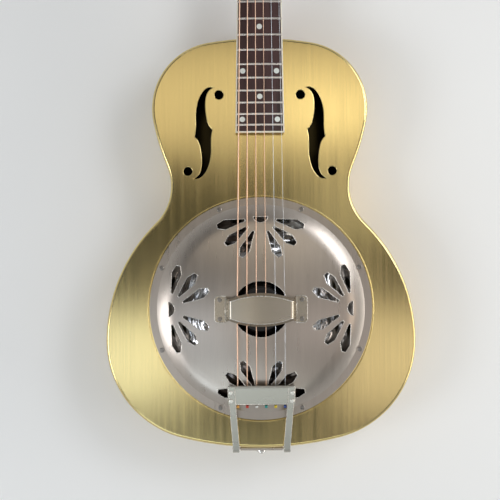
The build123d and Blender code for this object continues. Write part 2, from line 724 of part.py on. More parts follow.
def leg():
    """Right strap: its side view as a bent strip, cut to its slanted plan, with its hinge knuckle."""
    t = 1.8
    up = (PIN_Y - KNUCKLE_R + t / 2, PIN_Z)
    over = (PIN_Y - KNUCKLE_R + t / 2, TOP + 5.0)
    slope = math.tan(TAIL_TILT)
    rise = TOP + TAIL_PLATE_H + t / 2
    front = (PLATE_FRONT_Y - 0.5, rise + (PLATE_FRONT_Y - 0.5 - PLATE_BACK_Y) * slope)
    bend = (over[0], rise + (over[0] - PLATE_BACK_Y) * slope)
    path = FilletPolyline((0, up[0], up[1]), (0, bend[0], bend[1]), (0, front[0], front[1]), radius=4.5)
    start = Plane(origin=(0, up[0], up[1]), x_dir=(1, 0, 0), z_dir=(0, 0, 1))
    strip = sweep(start * Pos(33, 0) * Rectangle(30, t), path=path)
    top_in, top_out = LEG_TOP_X - LEG_W / 2, LEG_TOP_X + LEG_W / 2
    end_in, end_out = LEG_END_X - LEG_W / 2, LEG_END_X + LEG_W / 2
    plan = [(top_in, PLATE_FRONT_Y), (top_out, PLATE_FRONT_Y), (end_out, -160), (end_out, -175)]
    plan = plan + [(end_in, -175), (end_in, -160)]
    strip = strip & prism(plan, 60, Plane(origin=(0, 0, 60)))
    knuckle = Pos(LEG_END_X, PIN_Y, PIN_Z) * Rot(0, 90, 0) * Cylinder(KNUCKLE_R, LEG_W)
    bore = Pos(LEG_END_X, PIN_Y, PIN_Z) * Rot(0, 90, 0) * Cylinder(PIN_R + FIT, LEG_W + 40)
    holes = [TAIL_FRAME * disc(x, y, -3, 5, 1.2) for x, y in rivet_places()]
    strip = strip + knuckle - bore
    for hole in holes:
        strip = strip - hole
    return strip


def rivet_places():
    return [(LEG_TOP_X + 0.2, 5.0), (LEG_TOP_X + 0.6, 15.0)]


def make_tailpiece_rivets():
    rivets = []
    for x, y in rivet_places():
        head = Cylinder(2.7, 1.4, align=(Align.CENTER, Align.CENTER, Align.MIN))
        head = fillet(head.edges().sort_by(Axis.Z)[-1], 0.9)
        rivet = Pos(x, y, 1.8) * head + disc(x, y, 0, 1.8, 1.2)
        rivets.append(TAIL_FRAME * rivet)
    return Compound(children=rivets + [mirrored(rivet) for rivet in rivets])


def make_tailpiece_pin():
    return Pos(0, PIN_Y, PIN_Z) * Rot(0, 90, 0) * Cylinder(PIN_R, 2 * (LEG_END_X + LEG_W / 2) + 2)


def make_tailpiece_bracket():
    plate = box(-BRACKET_HALF, BRACKET_HALF, TAIL_Y - 1.4, TAIL_Y + 3, 49, PIN_Z + 1)
    barrel = Pos(0, PIN_Y, PIN_Z) * Rot(0, 90, 0) * Cylinder(KNUCKLE_R, 2 * BRACKET_HALF)
    web = box(-BRACKET_HALF, BRACKET_HALF, PIN_Y, TAIL_Y, PIN_Z - KNUCKLE_R, PIN_Z)
    bracket = plate + barrel + web - body_block(0, 0, TOP)
    bracket = bracket - Pos(0, PIN_Y, PIN_Z) * Rot(0, 90, 0) * Cylinder(PIN_R, 100)
    for x in BRACKET_SCREW_X:
        bracket = bracket - disc_y(x, BRACKET_SCREW_Z, -180, TAIL_Y + 8, 1.5)
    return Compound(children=[bracket, make_tailpiece_pin()])


def make_strap_button():
    """Turned button on the tail, with its wood screw running into the stick."""
    z = (STICK_Z0 + STICK_Z1) / 2
    turned = solid_of_rings([
        (2.3, 0), (7.0, 0), (7.0, 1.5), (4.2, 4.0), (3.8, 8.0), (6.6, 11.0),
        (6.6, 13.5), (5.4, 14.6), (2.3, 14.6),
    ])
    place = Plane(origin=(0, TAIL_Y, z), x_dir=(1, 0, 0), z_dir=(0, -1, 0))
    screw = Pos(0, 0, 14.6) * pan_head_screw(2.2, 38.0, 4.0, 2.0)
    return Compound(children=[place * turned, place * screw])


# ---- Strings ----

def nut_point(index):
    x = string_x(index, NUT_SPACING)
    return NECK.from_local_coords(Vector(x, NUT_LY + 1.5, 1.75 - string_drop(x)))


def saddle_point(index):
    x = string_x(index, BRIDGE_SPACING)
    return Vector(x, 0, TOP + SADDLE_H - string_drop(x))


def ball_point(index):
    return Vector(string_x(index, BRIDGE_SPACING), BALL_Y, TOP + STRING_REST_H)


def post_point(index):
    """Where the string first touches its post, on the side that faces the middle of the headstock."""
    side, x, y = post_places()[index]
    start = HEAD.to_local_coords(nut_point(index))
    reach = POST_R + STRING_D[index] / 2 + FIT
    dx, dy = x - start.X, y - start.Y
    length = math.hypot(dx, dy)
    angle = math.atan2(dy, dx) + side * math.asin(reach / length)
    run = math.sqrt(length ** 2 - reach ** 2)
    return HEAD.from_local_coords(
        Vector(start.X + run * math.cos(angle), start.Y + run * math.sin(angle), WIND_H)
    )


def make_string(index):
    radius = STRING_D[index] / 2
    tail = ball_point(index) + Vector(0, BALL_R, 0)
    points = [tail, saddle_point(index), nut_point(index), post_point(index)]
    path = FilletPolyline(*points, radius=6.0)
    start = Plane(origin=points[0], z_dir=path % 0)
    return sweep(start * Circle(radius), path=path)


def string_cutters():
    """Grooves for the strings in the saddle and the nut: the string's own course, open above."""
    cutters = []
    for index, diameter in enumerate(STRING_D):
        radius = diameter / 2 + 0.03
        points = [ball_point(index), saddle_point(index), nut_point(index), post_point(index)]
        for a, b in zip(points, points[1:]):
            cutters.append(rod(a, b, radius))
        for point in points[1:3]:
            cutters.append(Pos(point) * Sphere(radius))
            cutters.append(Pos(point) * Pos(0, 0, 5) * Box(diameter + 0.06, 14, 10))
    return cutters


def make_string_balls():
    balls = []
    for index in range(len(STRING_D)):
        barrel = Pos(ball_point(index)) * Rot(0, 90, 0) * Cylinder(BALL_R, 3.4)
        balls.append(fillet(barrel.edges().filter_by(GeomType.CIRCLE), 0.7))
    return Compound(children=balls)


# ---- Tuners, built for the treble side with the post on the local Z axis ----

def tuner_plate():
    """Back plate with the post's bearing and two ears for the worm shaft."""
    z0 = -VENEER_T - HEAD_T - PLATE_T
    plate = box(-9.0, 9.2, -CENTRES - 9.5, 13.0, z0, z0 + PLATE_T)
    plate = fillet(plate.edges().filter_by(Axis.Z), 3.0)
    plate = plate - disc(0, 0, z0 - 1, z0 + 5, POST_R + FIT)
    for x0, bore in ((-EAR_IN - EAR_T, 1.5), (EAR_OUT, 1.75)):
        ear = box(x0, x0 + EAR_T, -CENTRES - 3.2, -CENTRES + 3.2, GEAR_Z - 1.0, z0)
        nose = Pos(x0 + EAR_T / 2, -CENTRES, GEAR_Z) * Rot(0, 90, 0) * Cylinder(3.2, EAR_T)
        hole = Pos(x0 + EAR_T / 2, -CENTRES, GEAR_Z) * Rot(0, 90, 0) * Cylinder(bore + FIT, EAR_T + 1)
        plate = plate + ear + nose - hole
    for y in (-CENTRES - 7.0, 10.0):
        plate = plate - disc(0, y, z0 - 1, z0 + 5, 1.1)
    return plate


def tuner_bushing():
    collar = solid_of_rings([
        (POST_R + FIT, -8.0), (4.0, -8.0), (4.0, 0), (5.6, 0), (5.6, 0.8), (4.9, 1.4), (POST_R + FIT, 1.4),
    ])
    return collar


def tuner_post():
    """String post, waisted where the string winds, with its string hole and a square for the gear."""
    shank = disc(0, 0, GEAR_Z + GEAR_T / 2 + 1.5, POST_TOP, POST_R)
    groove = disc(0, 0, WIND_H + 2.2, WIND_H + 5.0, 8) - disc(0, 0, 0, 40, POST_R - 0.35)
    post = shank - groove
    post = chamfer(post.edges().filter_by(GeomType.CIRCLE).sort_by(Axis.Z)[-1], 0.5)
    post = post - Pos(0, 0, WIND_H + 3.6) * Rot(90, 0, 0) * Cylinder(0.9, 20)
    square = box(-1.9, 1.9, -1.9, 1.9, GEAR_Z - GEAR_T / 2, GEAR_Z + GEAR_T / 2 + 1.5)
    return post + square - disc(0, 0, GEAR_Z - 10, GEAR_Z + 4, 1.0)


def tuner_gear():
    """Worm wheel with slanted gaps and a short hub, held on the post's square by a screw."""
    wheel = disc(0, 0, GEAR_Z - GEAR_T / 2, GEAR_Z + GEAR_T / 2, GEAR_R + 0.65)
    lead = math.degrees(math.atan(PITCH / (2 * math.pi * WORM_R)))
    gap = [(-0.45, GEAR_R - 0.85), (0.45, GEAR_R - 0.85), (0.81, GEAR_R + 1.2), (-0.81, GEAR_R + 1.2)]
    cutter = extrude(make_face(Polyline(*gap, close=True)), 6, both=True)
    cutter = Rot(0, -lead, 0) * cutter
    for i in range(GEAR_TEETH):
        wheel = wheel - Pos(0, 0, GEAR_Z) * Rot(0, 0, 180 + 360 / GEAR_TEETH * i) * cutter
    wheel = wheel + disc(0, 0, GEAR_Z + GEAR_T / 2, GEAR_Z + GEAR_T / 2 + 1.5, 3.6)
    wheel = wheel - box(-1.9, 1.9, -1.9, 1.9, GEAR_Z - 10, GEAR_Z + 10)
    screw = Pos(0, 0, GEAR_Z - GEAR_T / 2) * Rot(180, 0, 0) * pan_head_screw(1.0, 5.0, 3.2, 1.4)
    return Compound(children=[wheel, screw])


def tuner_worm(x, half_width):
    """Worm and its shaft, along local Z from the inner ear to the button."""
    helix = Helix(pitch=PITCH, height=PITCH * WORM_TURNS, radius=WORM_R)
    tip, root = WORM_R + 0.65, WORM_R - 1.1
    profile = [(root - WORM_R, -0.48), (tip - WORM_R, -0.2), (tip - WORM_R, 0.2), (root - WORM_R, 0.48)]
    start = Plane(origin=helix @ 0, x_dir=(1, 0, 0), z_dir=helix % 0)
    thread = sweep(start * make_face(Polyline(*profile, close=True)), path=helix, is_frenet=True)
    thread = Pos(0, 0, -PITCH * WORM_TURNS / 2) * thread
    core = disc(0, 0, -EAR_IN + 0.1, EAR_OUT - 0.1, 1.75)
    inner = disc(0, 0, -EAR_IN - EAR_T - 0.6, -EAR_IN + 0.1, 1.5)
    outer = disc(0, 0, EAR_OUT - 0.1, half_width - x + BUTTON_GAP + 6.0, 1.75)
    return thread + core + inner + outer


def tuner_button(x, half_width):
    """Oval metal button with a short collar, on the end of the worm shaft."""
    z0 = half_width - x + BUTTON_GAP
    oval = Plane(origin=(0, 2.6, z0 + 11.0), x_dir=(1, 0, 0), z_dir=(0, -1, 0)) * Ellipse(9.0, 7.8)
    button = fillet(extrude(oval, 5.2).edges(), 1.6)
    collar = disc(0, 0, z0, z0 + 6.0, 3.1)
    return button + collar - disc(0, 0, z0 - 1, z0 + 6.0, 1.75)


def place_tuner(part, side, x, y):
    """Put a part made for the treble side at one of the six places, mirrored on the bass side."""
    part = Pos(abs(x), y) * part
    if side < 0:
        part = mirrored(part)
    return HEAD * part


def tuner_screw_places():
    return [(0, -CENTRES - 7.0), (0, 10.0)]


def make_headstock_screws():
    screws = [HEAD * Pos(x, y, 2.0) * pan_head_screw(1.1, 8.0, 2.0, 1.0) for x, y in truss_cover_screws()]
    z = -VENEER_T - HEAD_T - PLATE_T
    for side, x, y in post_places():
        for dx, dy in tuner_screw_places():
            screw = Pos(dx, dy, z) * Rot(180, 0, 0) * pan_head_screw(1.1, 9.0, 2.1, 1.0)
            screws.append(place_tuner(screw, side, x, y))
    return Compound(children=screws)


def make_body_screws():
    """Cover plate, hand rest and tail bracket screws, and the one that holds the biscuit."""
    screws = [Pos(x, y, TOP) * pan_head_screw(1.25, 5.5, 2.9, 1.5) for x, y in cover_screw_places()]
    foot_z = TOP + DOME_TOP_H + 1.2
    screws += [Pos(x, y, foot_z) * pan_head_screw(1.3, 5.0, 2.7, 1.3) for x, y in rest_screw_places()]
    for x in BRACKET_SCREW_X:
        place = Plane(origin=(x, TAIL_Y - 1.4, BRACKET_SCREW_Z), x_dir=(1, 0, 0), z_dir=(0, -1, 0))
        screws.append(place * pan_head_screw(1.5, 7.0, 3.2, 1.6))
    biscuit = Pos(0, 0, TOP + CONE_TOP_H - CONE_SHEET) * Rot(180, 0, 0) * pan_head_screw(1.3, 5.0, 3.0, 1.4)
    return Compound(children=screws + [biscuit])


# ---- Write every node ----

def build_nodes():
    nodes = {
        "body_top": make_body_top(),
        "body_sides": make_body_sides(),
        "body_back": make_body_back(),
        "soundwell": make_soundwell(),
        "cover_plate": make_cover_plate(),
        "hand_rest": make_hand_rest(),
        "body_screws": make_body_screws(),
        "cone": make_cone(),
        "biscuit": make_biscuit(),
        "saddle": make_saddle(),
        "neck": make_neck(),
        "neck_stick": make_neck_stick(),
        "stick_props": make_stick_props(),
        "fretboard": make_fretboard(),
        "fretboard_binding": make_fretboard_binding(),
        "frets": make_frets(),
        "position_markers": make_position_markers(),
        "nut": make_nut(),
        "truss_rod": make_truss_rod(),
        "truss_rod_nut": make_truss_rod_nut(),
        "truss_rod_cover": make_truss_rod_cover(),
        "headstock_veneer": make_headstock_veneer(),
        "headstock_screws": make_headstock_screws(),
        "tailpiece_frame": make_tailpiece_frame(),
        "tailpiece_rivets": make_tailpiece_rivets(),
        "tailpiece_bracket": make_tailpiece_bracket(),
        "string_balls": make_string_balls(),
        "strap_button": make_strap_button(),
    }
    places = post_places()
    plates = [place_tuner(tuner_plate(), *place) for place in places]
    nodes["tuner_plates"] = Compound(children=plates)
    bushings = [place_tuner(tuner_bushing(), *place) for place in places]
    nodes["tuner_bushings"] = Compound(children=bushings)
    for index, place in enumerate(places):
        number = 6 - index
        worm = WORM_PLACE * tuner_worm(abs(place[1]), HEAD_EDGE)
        button = WORM_PLACE * tuner_button(abs(place[1]), HEAD_EDGE)
        nodes[f"string_{number}"] = make_string(index)
        nodes[f"tuner_post_{number}"] = place_tuner(tuner_post(), *place)
        nodes[f"tuner_gear_{number}"] = place_tuner(tuner_gear(), *place)
        nodes[f"tuner_worm_{number}"] = place_tuner(worm, *place)
        nodes[f"tuner_button_{number}"] = place_tuner(button, *place)
    return nodes


os.makedirs("parts", exist_ok=True)
for name, shape in build_nodes().items():
    export_step(shape, f"parts/{name}.step")
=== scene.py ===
"""Looks of the resonator guitar: materials, strings' ends, the spun cone, soft edges, studio and camera."""

import json
import math

import bmesh
import bpy
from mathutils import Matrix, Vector


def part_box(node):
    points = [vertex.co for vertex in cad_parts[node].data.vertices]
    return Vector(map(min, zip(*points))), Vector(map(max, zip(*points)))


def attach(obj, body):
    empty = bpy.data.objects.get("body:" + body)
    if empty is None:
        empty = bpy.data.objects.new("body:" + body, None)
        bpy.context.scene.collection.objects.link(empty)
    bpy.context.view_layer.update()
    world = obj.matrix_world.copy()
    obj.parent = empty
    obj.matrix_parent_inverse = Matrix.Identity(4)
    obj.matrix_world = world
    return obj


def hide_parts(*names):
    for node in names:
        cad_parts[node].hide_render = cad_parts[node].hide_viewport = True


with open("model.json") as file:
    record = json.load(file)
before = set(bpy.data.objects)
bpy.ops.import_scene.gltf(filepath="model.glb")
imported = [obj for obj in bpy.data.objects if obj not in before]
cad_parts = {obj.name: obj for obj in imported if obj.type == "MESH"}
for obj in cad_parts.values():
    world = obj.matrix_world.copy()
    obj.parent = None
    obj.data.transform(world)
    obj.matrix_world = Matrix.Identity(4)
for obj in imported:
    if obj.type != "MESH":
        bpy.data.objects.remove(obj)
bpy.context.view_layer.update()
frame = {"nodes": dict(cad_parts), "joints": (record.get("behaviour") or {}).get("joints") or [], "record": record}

MM = 0.001
OVERHEAD = 1.75          # height of the lights that face down, above the camera
WELD = 0.000002          # points of a CAD mesh nearer than this are one point
WINDING_PITCH = 0.0003   # of the thin wire on a wound string
NODES = frame["nodes"]
RECORD = frame["record"]
JOINTS = {joint["name"]: joint for joint in frame["joints"]}
SLOT_OF = {part["node"]: part["material_slot"] for part in RECORD["subparts"]}
BODY_OF = {node: body for body, nodes in RECORD["behaviour"]["bodies"].items() for node in nodes}


# ---- Node trees ----

def fill_ramp(node, stops):
    """Give a colour ramp node its stops, each a (position, (r, g, b))."""
    elements = node.color_ramp.elements
    while len(elements) < len(stops):
        elements.new(0.5)
    for element, (position, colour) in zip(elements, stops):
        element.position = position
        element.color = (*colour, 1)


class Paint:
    """A material with a Principled shader, and short ways to add the nodes that feed it."""

    def __init__(self, name, **values):
        self.material = bpy.data.materials.new(name)
        self.material.use_nodes = True
        self.tree = self.material.node_tree
        self.tree.nodes.clear()
        output = self.node("ShaderNodeOutputMaterial")
        self.shader = self.node("ShaderNodeBsdfPrincipled")
        self.tree.links.new(self.shader.outputs[0], output.inputs[0])
        for socket, value in values.items():
            self.shader.inputs[socket.replace("_", " ")].default_value = value

    def node(self, kind, **settings):
        made = self.tree.nodes.new(kind)
        for key, value in settings.items():
            setattr(made, key, value)
        return made

    def feed(self, socket, value):
        if hasattr(value, "is_linked"):
            self.tree.links.new(value, socket)
        else:
            socket.default_value = value

    def into(self, name, value):
        self.feed(self.shader.inputs[name], value)

    def place(self, scale=(1, 1, 1)):
        """Object coordinates in metres, stretched by scale."""
        coordinates = self.node("ShaderNodeTexCoord")
        mapping = self.node("ShaderNodeMapping")
        self.feed(mapping.inputs["Vector"], coordinates.outputs["Object"])
        mapping.inputs["Scale"].default_value = scale
        return mapping.outputs["Vector"]

    def noise(self, vector, scale=1.0, detail=2.0, distortion=0.0, roughness=0.5):
        made = self.node("ShaderNodeTexNoise")
        self.feed(made.inputs["Vector"], vector)
        made.inputs["Scale"].default_value = scale
        made.inputs["Detail"].default_value = detail
        made.inputs["Roughness"].default_value = roughness
        made.inputs["Distortion"].default_value = distortion
        return made.outputs["Fac"]

    def rings(self, distance, scale, detail):
        """Noise that changes with a distance only."""
        made = self.node("ShaderNodeTexNoise", noise_dimensions="1D")
        self.feed(made.inputs["W"], distance)
        made.inputs["Scale"].default_value = scale
        made.inputs["Detail"].default_value = detail
        return made.outputs["Fac"]

    def math(self, operation, first, second=0.0):
        made = self.node("ShaderNodeMath", operation=operation)
        self.feed(made.inputs[0], first)
        self.feed(made.inputs[1], second)
        return made.outputs[0]

    def axis(self, vector, name):
        made = self.node("ShaderNodeSeparateXYZ")
        self.feed(made.inputs[0], vector)
        return made.outputs[name]

    def span(self, value, low, high, to_low=0.0, to_high=1.0):
        made = self.node("ShaderNodeMapRange")
        self.feed(made.inputs["Value"], value)
        for socket, number in zip(("From Min", "From Max", "To Min", "To Max"), (low, high, to_low, to_high)):
            made.inputs[socket].default_value = number
        return made.outputs[0]

    def ramp(self, value, stops, mode="LINEAR"):
        made = self.node("ShaderNodeValToRGB")
        made.color_ramp.interpolation = mode
        fill_ramp(made, stops)
        self.feed(made.inputs[0], value)
        return made.outputs[0]

    def mix(self, share, first, second, blend="MIX"):
        made = self.node("ShaderNodeMix", data_type="RGBA", blend_type=blend)
        self.feed(made.inputs[0], share)
        self.feed(made.inputs[6], first)
        self.feed(made.inputs[7], second)
        return made.outputs[2]

    def bump(self, height, distance, strength=1.0):
        made = self.node("ShaderNodeBump")
        made.inputs["Strength"].default_value = strength
        made.inputs["Distance"].default_value = distance
        self.feed(made.inputs["Height"], height)
        self.into("Normal", made.outputs[0])


def shade(colour, factor):
    return tuple(min(1.0, value * factor) for value in colour)


def stretched(across, lengthwise, axes):
    """A noise scale that is lengthwise along the named axes, and across on the others."""
    return [lengthwise if axis in axes else across for axis in "XYZ"]


# ---- Metals ----

def brushed(name, colour, along, roughness, depth, contrast, painted_shade_above=None):
    """Brushed sheet metal, along the named axes; when a height is given, the inside above it gets painted shade,
    near black.
    """
    paint = Paint(name, Metallic=1.0)
    hair = paint.noise(paint.place(stretched(1400.0, 9.0, along)), detail=3.0)
    streak = paint.noise(paint.place(stretched(170.0, 2.4, along)), detail=4.0, roughness=0.62)
    cloud = paint.noise(paint.place(), scale=9.0, detail=3.0)
    both = paint.math("ADD", paint.math("MULTIPLY", hair, 0.45), paint.math("MULTIPLY", streak, 0.55))
    tone = paint.ramp(both, [(0.3, shade(colour, 1 - contrast)), (0.7, shade(colour, 1 + contrast))])
    if painted_shade_above:
        # painted shade: the inside of the closed body is drawn near black above this height
        shaded_inside = paint.span(paint.axis(paint.place(), "Z"), painted_shade_above, painted_shade_above + 0.0001)
        tone = paint.mix(shaded_inside, tone, (*shade(colour, 0.03), 1))
    paint.into("Base Color", tone)
    rough = paint.math("ADD", paint.math("MULTIPLY", streak, 0.1), paint.math("MULTIPLY", cloud, 0.06))
    paint.into("Roughness", paint.math("ADD", rough, roughness - 0.08))
    paint.bump(both, depth)
    return paint.material


def polished(name, colour, roughness):
    """Plated and polished metal with faint handling marks."""
    paint = Paint(name, Metallic=1.0)
    smear = paint.noise(paint.place(), scale=260.0, detail=4.0, distortion=0.6)
    scratch = paint.noise(paint.place((2600, 300, 900)), detail=2.0)
    paint.into("Base Color", paint.ramp(smear, [(0.25, shade(colour, 0.9)), (0.75, colour)]))
    rough = paint.math("ADD", paint.math("MULTIPLY", smear, 0.12), paint.math("MULTIPLY", scratch, 0.05))
    paint.into("Roughness", paint.math("ADD", rough, roughness - 0.06))
    paint.bump(scratch, 0.000004)
    return paint.material


def spun(name, colour):
    """Spun aluminium: rings about the Z axis, an uneven sheen, painted shade on the crown and towards the tail,
    and a brown darkening on the left towards the neck.
    """
    paint = Paint(name, Metallic=1.0)
    length = paint.node("ShaderNodeVectorMath", operation="LENGTH")
    paint.feed(length.inputs[0], paint.place((1, 1, 0)))
    reach = length.outputs["Value"]
    rings = paint.rings(reach, scale=2200.0, detail=3.0)
    place = paint.place()
    cloud = paint.noise(place, scale=60.0, detail=3.0)
    bright = paint.ramp(rings, [(0.3, shade(colour, 0.82)), (0.7, colour)])
    # painted shade: the cone round the biscuit is drawn near black, fading out from 36 to 48 mm
    crown = paint.span(reach, 0.036, 0.048)
    across, along = paint.axis(place, "X"), paint.axis(place, "Y")
    # painted shade towards the tail, under the tailpiece
    tail_shade = paint.span(along, -0.06, -0.078, 0.0, 0.86)
    left = paint.span(across, 0.02, -0.01)
    near_neck = paint.math("MULTIPLY", paint.span(along, 0.05, 0.07, 0.0, 0.75), left)
    # the rings darkened to brown: painted shade towards the tail, and darker on the left towards the neck
    tail_shade_neck_dark = paint.mix(paint.math("ADD", tail_shade, near_neck), bright, (0.13, 0.09, 0.075, 1))
    paint.into("Base Color", paint.mix(crown, (*shade(colour, 0.06), 1), tail_shade_neck_dark))
    paint.into("Roughness", paint.span(cloud, 0.3, 0.7, 0.14, 0.26))
    paint.bump(rings, 0.00002)
    return paint.material


def wound(name, colour):
    """A wound string: narrow turns across its length, which is along Y."""
    paint = Paint(name, Metallic=1.0)
    along = paint.axis(paint.place(), "Y")
    turns = paint.math("SINE", paint.math("MULTIPLY", along, 2 * math.pi / WINDING_PITCH))
    wear = paint.noise(paint.place(), scale=120.0, detail=3.0)
    tone = paint.ramp(turns, [(0.0, shade(colour, 0.88)), (0.6, colour)])
    worn = paint.span(wear, 0.4, 0.8, 0.0, 0.25)
    paint.into("Base Color", paint.mix(worn, tone, (*shade(colour, 0.75), 1)))
    paint.into("Roughness", paint.span(wear, 0.3, 0.7, 0.34, 0.44))
    paint.bump(turns, 0.000005)
    return paint.material


def ball_colours(name):
    """Six coloured brass ball ends, told apart by where they sit across the tailpiece."""
    paint = Paint(name, Metallic=0.75)
    low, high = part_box("string_balls")
    across = paint.span(paint.axis(paint.place(), "X"), low.x, high.x)
    tones = [
        (0.85, 0.42, 0.08), (0.62, 0.04, 0.03), (0.75, 0.75, 0.72),
        (0.02, 0.33, 0.33), (0.8, 0.62, 0.05), (0.03, 0.1, 0.42),
    ]
    colour = paint.ramp(across, [(i / 6, tone) for i, tone in enumerate(tones)], "CONSTANT")
    smear = paint.noise(paint.place(), scale=700.0, detail=2.0)
    paint.into("Base Color", paint.mix(paint.span(smear, 0.3, 0.8, 0.0, 0.3), colour, (0.5, 0.42, 0.3, 1)))
    paint.into("Roughness", paint.span(smear, 0.3, 0.7, 0.2, 0.4))
    return paint.material


# ---- Wood, bone and lacquer ----

def wood(name, dark, light, grain, along, roughness, coat, pores):
    """Straight-grained timber: bands, darker pores, and a thin finish."""
    paint = Paint(name, Coat_Weight=coat, Coat_Roughness=0.12)
    bands = paint.noise(paint.place(stretched(grain, grain * 0.05, along)), detail=5.0, distortion=0.5)
    holes = paint.noise(paint.place(stretched(grain * 9, grain * 0.28, along)), detail=2.0, roughness=0.7)
    tone = paint.ramp(bands, [(0.3, dark), (0.52, shade(light, 0.75)), (0.72, light)])
    open_pore = paint.span(holes, 0.56, 0.72, 0.0, pores)
    paint.into("Base Color", paint.mix(open_pore, tone, (*shade(dark, 0.4), 1)))
    paint.into("Roughness", paint.span(bands, 0.3, 0.7, roughness, roughness + 0.12))
    paint.bump(holes, -0.00005)
    return paint.material


def lacquer(name, colour):
    """Dark gloss finish with the faint swirls of polishing."""
    paint = Paint(name, Coat_Weight=0.6, Coat_Roughness=0.05)
    swirl = paint.noise(paint.place(), scale=45.0, detail=4.0, distortion=1.2)
    paint.into("Base Color", paint.ramp(swirl, [(0.3, shade(colour, 0.8)), (0.7, shade(colour, 1.25))]))
    paint.into("Roughness", paint.span(swirl, 0.3, 0.7, 0.12, 0.18))
    paint.bump(swirl, 0.00001)
    return paint.material


def bone_like(name, colour, darker, scale):
    """Cream binding or bone: cloudy, with faint lines."""
    paint = Paint(name, Subsurface_Weight=0.08, Subsurface_Scale=0.001)
    cloud = paint.noise(paint.place((scale, scale * 0.3, scale)), detail=4.0, distortion=0.4)
    paint.into("Base Color", paint.ramp(cloud, [(0.28, darker), (0.62, colour)]))
    paint.into("Roughness", paint.span(cloud, 0.3, 0.7, 0.24, 0.36))
    paint.bump(cloud, 0.00001)
    return paint.material


def pearl(name):
    """Pearloid: folded pale sheets with pink and green casts."""
    paint = Paint(name, Coat_Weight=0.7, Coat_Roughness=0.06)
    fold = paint.noise(paint.place(), scale=420.0, detail=3.0, distortion=2.4)
    tone = paint.ramp(fold, [
        (0.25, (0.62, 0.62, 0.56)), (0.42, (0.86, 0.84, 0.78)),
        (0.55, (0.7, 0.78, 0.74)), (0.7, (0.92, 0.88, 0.86)),
    ])
    paint.into("Base Color", tone)
    paint.into("Roughness", paint.span(fold, 0.3, 0.7, 0.12, 0.3))
    return paint.material


def make_materials():
    brass = (0.78, 0.62, 0.28)
    nickel = (0.52, 0.458, 0.402)
    return {
        "brass_satin": brushed("brass_satin", brass, "Y", 0.17, 0.00003, 0.10),
        # brass_back: the inside above 0.8 mm gets painted shade, near black
        "brass_back": brushed("brass_back", brass, "Y", 0.2, 0.00003, 0.10, painted_shade_above=0.0008),
        "brass_sides": brushed("brass_sides", (0.70, 0.50, 0.19), "XY", 0.26, 0.00002, 0.10),
        "nickel_satin": brushed("nickel_satin", nickel, "Y", 0.29, 0.00001, 0.05),
        "nickel_satin_cross": brushed("nickel_satin_cross", (0.48, 0.435, 0.36), "X", 0.26, 0.000006, 0.04),
        "nickel_bright": polished("nickel_bright", (0.82, 0.80, 0.76), 0.16),
        "nickel_edge": polished("nickel_edge", (0.82, 0.78, 0.72), 0.24),
        "nickel_dark": polished("nickel_dark", (0.34, 0.315, 0.29), 0.26),
        "nickel_pale": brushed("nickel_pale", (0.50, 0.48, 0.43), "XY", 0.28, 0.000003, 0.03),
        "fret_wire": polished("fret_wire", (0.92, 0.84, 0.78), 0.26),
        "rod_steel": polished("rod_steel", (0.42, 0.42, 0.43), 0.34),
        "steel_string": polished("steel_string", (0.88, 0.93, 1.0), 0.28),
        "brass_gear": polished("brass_gear", (0.78, 0.58, 0.26), 0.24),
        "spun_aluminium": spun("spun_aluminium", (0.95, 0.95, 0.96)),
        "bronze_string": wound("bronze_string", (1.0, 0.68, 0.50)),
        "ball_ends": ball_colours("ball_ends"),
        "mahogany": wood("mahogany", (0.09, 0.03, 0.015), (0.3, 0.12, 0.055), 28.0, "Y", 0.32, 0.45, 0.65),
        "rosewood": wood("rosewood", (0.018, 0.007, 0.007), (0.075, 0.028, 0.026), 42.0, "Y", 0.42, 0.1, 0.7),
        "maple": wood("maple", (0.42, 0.27, 0.13), (0.66, 0.48, 0.28), 30.0, "X", 0.5, 0.0, 0.25),
        "ebonised": wood("ebonised", (0.004, 0.004, 0.004), (0.014, 0.012, 0.011), 40.0, "X", 0.62, 0.0, 0.5),
        "black_veneer": lacquer("black_veneer", (0.012, 0.011, 0.011)),
        "binding_cream": bone_like("binding_cream", (0.93, 0.88, 0.76), (0.84, 0.77, 0.6), 160.0),
        "bone": bone_like("bone", (0.84, 0.8, 0.68), (0.66, 0.58, 0.42), 320.0),
        "pearl": pearl("pearl"),
    }


MATERIALS = make_materials()


def cover(obj, material):
    obj.data.materials.clear()
    obj.data.materials.append(MATERIALS[material])


OWN_MATERIAL = {
    "body_sides": "brass_sides", "body_back": "brass_back", "soundwell": "nickel_satin",
    "hand_rest": "nickel_satin_cross", "tailpiece_frame": "nickel_pale", "body_screws": "nickel_dark",
    "tailpiece_rivets": "nickel_edge",
}


def paint_cad_nodes():
    """Each node gets its slot's material, apart from those with one of their own."""
    for name, node in NODES.items():
        cover(node, OWN_MATERIAL.get(name, SLOT_OF[name]))


# ---- Soft edges on the CAD nodes ----

def soften(name, width):
    """Round a CAD node's edges by modifiers, which leave its own mesh as it is."""
    node = NODES[name]
    node.modifiers.new("weld", "WELD").merge_threshold = WELD
    flat = node.modifiers.new("flat", "DECIMATE")
    flat.decimate_type = "DISSOLVE"
    flat.angle_limit = math.radians(0.6)
    bevel = node.modifiers.new("edges", "BEVEL")
    bevel.width = width
    bevel.segments = 2
    bevel.limit_method = "ANGLE"
    bevel.angle_limit = math.radians(35)
    bevel.use_clamp_overlap = True
    normals = node.modifiers.new("normals", "WEIGHTED_NORMAL")
    normals.keep_sharp = True


SOFT_EDGES = {           # widths in millimetres
    "hand_rest": 0.5, "tailpiece_frame": 0.35, "tailpiece_bracket": 0.3, "nut": 0.4, "saddle": 0.3,
    "headstock_veneer": 0.35, "truss_rod_cover": 0.4, "fretboard_binding": 0.3, "neck": 0.5,
    "tuner_plates": 0.3, "stick_props": 0.4, "neck_stick": 0.4,
}


